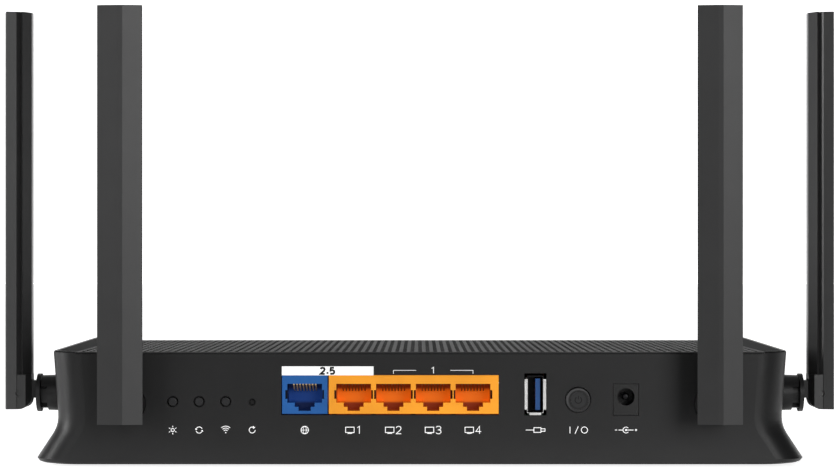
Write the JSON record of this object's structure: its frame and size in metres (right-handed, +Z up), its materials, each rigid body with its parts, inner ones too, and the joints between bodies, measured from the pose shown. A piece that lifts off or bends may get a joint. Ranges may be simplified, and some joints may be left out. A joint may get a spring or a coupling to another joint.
{
  "type": "wireless router",
  "caption": "Low flared desktop router case with a row of rear sockets and buttons, a ribbed top panel and upright fold-and-swivel blade antennas.",
  "frame": {"origin": "bottom centre of the whole object's box, on the surface that the feet stand on", "axes": "+X to the right seen from the port side, -Y out of the ports, +Z up"},
  "size_m": [0.3022, 0.172, 0.1624],
  "materials": {
    "case_plastic": "satin",
    "panel_plastic": "ribbed satin",
    "base_plastic": "fine matt grain",
    "antenna_plastic": "satin",
    "hinge_plastic": "satin",
    "button_plastic": "satin",
    "foot_rubber": "matt",
    "label_film": "matt",
    "screw_steel": "black zinc",
    "circuit_board": "solder mask",
    "can_steel": "tin plated",
    "chip_black": "moulded epoxy",
    "thermal_pad": "soft",
    "spreader_aluminium": "mill finish",
    "capacitor_can": "sleeved",
    "led_clear": "clear",
    "light_guide_clear": "polished",
    "socket_blue": "satin",
    "socket_orange": "satin",
    "contact_gold": "gold plated",
    "shell_steel": "nickel plated",
    "usb_blue": "satin",
    "inlet_black": "satin",
    "reset_white": "matt",
    "lead_jacket": "smooth",
    "pin_steel": "black oxide",
    "clip_steel": "spring steel"
  },
  "bodies": {
    "case": {"top_cover": "case_plastic", "top_panel": "panel_plastic", "bottom_cover": "base_plastic", "rubber_feet": "foot_rubber", "rating_plate": "label_film", "case_screws": "screw_steel", "board_screws": "screw_steel", "main_board": "circuit_board", "shield_cans": "can_steel", "board_chips": "chip_black", "thermal_pads": "thermal_pad", "heat_spreader": "spreader_aluminium", "magnetics": "chip_black", "capacitors": "capacitor_can", "indicator_leds": "led_clear", "light_guide": "light_guide_clear", "usb_shell": "shell_steel", "usb_tongue": "usb_blue", "usb_contacts": "contact_gold", "inlet_housing": "inlet_black", "inlet_pin": "shell_steel", "inlet_spring": "shell_steel", "tact_switch_bodies": "chip_black", "power_switch_body": "chip_black", "antenna_sockets": "case_plastic", "coax_cables": "lead_jacket", "coax_plugs": "contact_gold", "wan_jack_housing": "socket_blue", "wan_jack_contacts": "contact_gold", "lan_jack_housing": "socket_orange", "lan_jack_contacts": "contact_gold"},
    "led_button": {"led_button": "button_plastic"},
    "wps_button": {"wps_button": "button_plastic"},
    "wifi_button": {"wifi_button": "button_plastic"},
    "reset_plunger": {"reset_plunger": "reset_white"},
    "power_button": {"power_button": "button_plastic"},
    "left_side_stem": {"left_side_swivel_stem": "hinge_plastic", "left_side_stem_clip": "clip_steel"},
    "left_side_blade": {"left_side_outer_shell": "antenna_plastic", "left_side_inner_cover": "antenna_plastic", "left_side_radiator_board": "circuit_board", "left_side_hinge_pin": "pin_steel"},
    "left_rear_stem": {"left_rear_swivel_stem": "hinge_plastic", "left_rear_stem_clip": "clip_steel"},
    "left_rear_blade": {"left_rear_outer_shell": "antenna_plastic", "left_rear_inner_cover": "antenna_plastic", "left_rear_radiator_board": "circuit_board", "left_rear_hinge_pin": "pin_steel"},
    "right_rear_stem": {"right_rear_swivel_stem": "hinge_plastic", "right_rear_stem_clip": "clip_steel"},
    "right_rear_blade": {"right_rear_outer_shell": "antenna_plastic", "right_rear_inner_cover": "antenna_plastic", "right_rear_radiator_board": "circuit_board", "right_rear_hinge_pin": "pin_steel"},
    "right_side_stem": {"right_side_swivel_stem": "hinge_plastic", "right_side_stem_clip": "clip_steel"},
    "right_side_blade": {"right_side_outer_shell": "antenna_plastic", "right_side_inner_cover": "antenna_plastic", "right_side_radiator_board": "circuit_board", "right_side_hinge_pin": "pin_steel"}
  },
  "joints": [
    {"name": "led_button_press", "type": "slide", "parent": "case", "child": "led_button", "axis": [0, 1, 0], "range_m": [0, 0.0004], "stiffness_N_per_m": 200},
    {"name": "wps_button_press", "type": "slide", "parent": "case", "child": "wps_button", "axis": [0, 1, 0], "range_m": [0, 0.0004], "stiffness_N_per_m": 200},
    {"name": "wifi_button_press", "type": "slide", "parent": "case", "child": "wifi_button", "axis": [0, 1, 0], "range_m": [0, 0.0004], "stiffness_N_per_m": 200},
    {"name": "reset_press", "type": "slide", "parent": "case", "child": "reset_plunger", "axis": [0, 1, 0], "range_m": [0, 0.00025], "stiffness_N_per_m": 120},
    {"name": "power_button_press", "type": "slide", "parent": "case", "child": "power_button", "axis": [0, 1, 0], "range_m": [0, 0.0018], "stiffness_N_per_m": 300},
    {"name": "left_side_swivel", "type": "hinge", "parent": "case", "child": "left_side_stem", "pos_m": [-0.1453, -0.02607, 0.0242], "axis": [-1, 0, 0], "range_deg": [-90, 90]},
    {"name": "left_side_fold", "type": "hinge", "parent": "left_side_stem", "child": "left_side_blade", "pos_m": [-0.1453, -0.02607, 0.0242], "axis": [0, -1, 0], "range_deg": [0, 90]},
    {"name": "left_rear_swivel", "type": "hinge", "parent": "case", "child": "left_rear_stem", "pos_m": [-0.103, -0.08017, 0.0222], "axis": [0, -1, 0], "range_deg": [-90, 90]},
    {"name": "left_rear_fold", "type": "hinge", "parent": "left_rear_stem", "child": "left_rear_blade", "pos_m": [-0.103, -0.08017, 0.0222], "axis": [1, 0, 0], "range_deg": [0, 90]},
    {"name": "right_rear_swivel", "type": "hinge", "parent": "case", "child": "right_rear_stem", "pos_m": [0.103, -0.08017, 0.0222], "axis": [0, -1, 0], "range_deg": [-90, 90]},
    {"name": "right_rear_fold", "type": "hinge", "parent": "right_rear_stem", "child": "right_rear_blade", "pos_m": [0.103, -0.08017, 0.0222], "axis": [1, 0, 0], "range_deg": [0, 90]},
    {"name": "right_side_swivel", "type": "hinge", "parent": "case", "child": "right_side_stem", "pos_m": [0.1453, -0.02607, 0.0242], "axis": [1, 0, 0], "range_deg": [-90, 90]},
    {"name": "right_side_fold", "type": "hinge", "parent": "right_side_stem", "child": "right_side_blade", "pos_m": [0.1453, -0.02607, 0.0242], "axis": [0, 1, 0], "range_deg": [0, 90]}
  ]
}
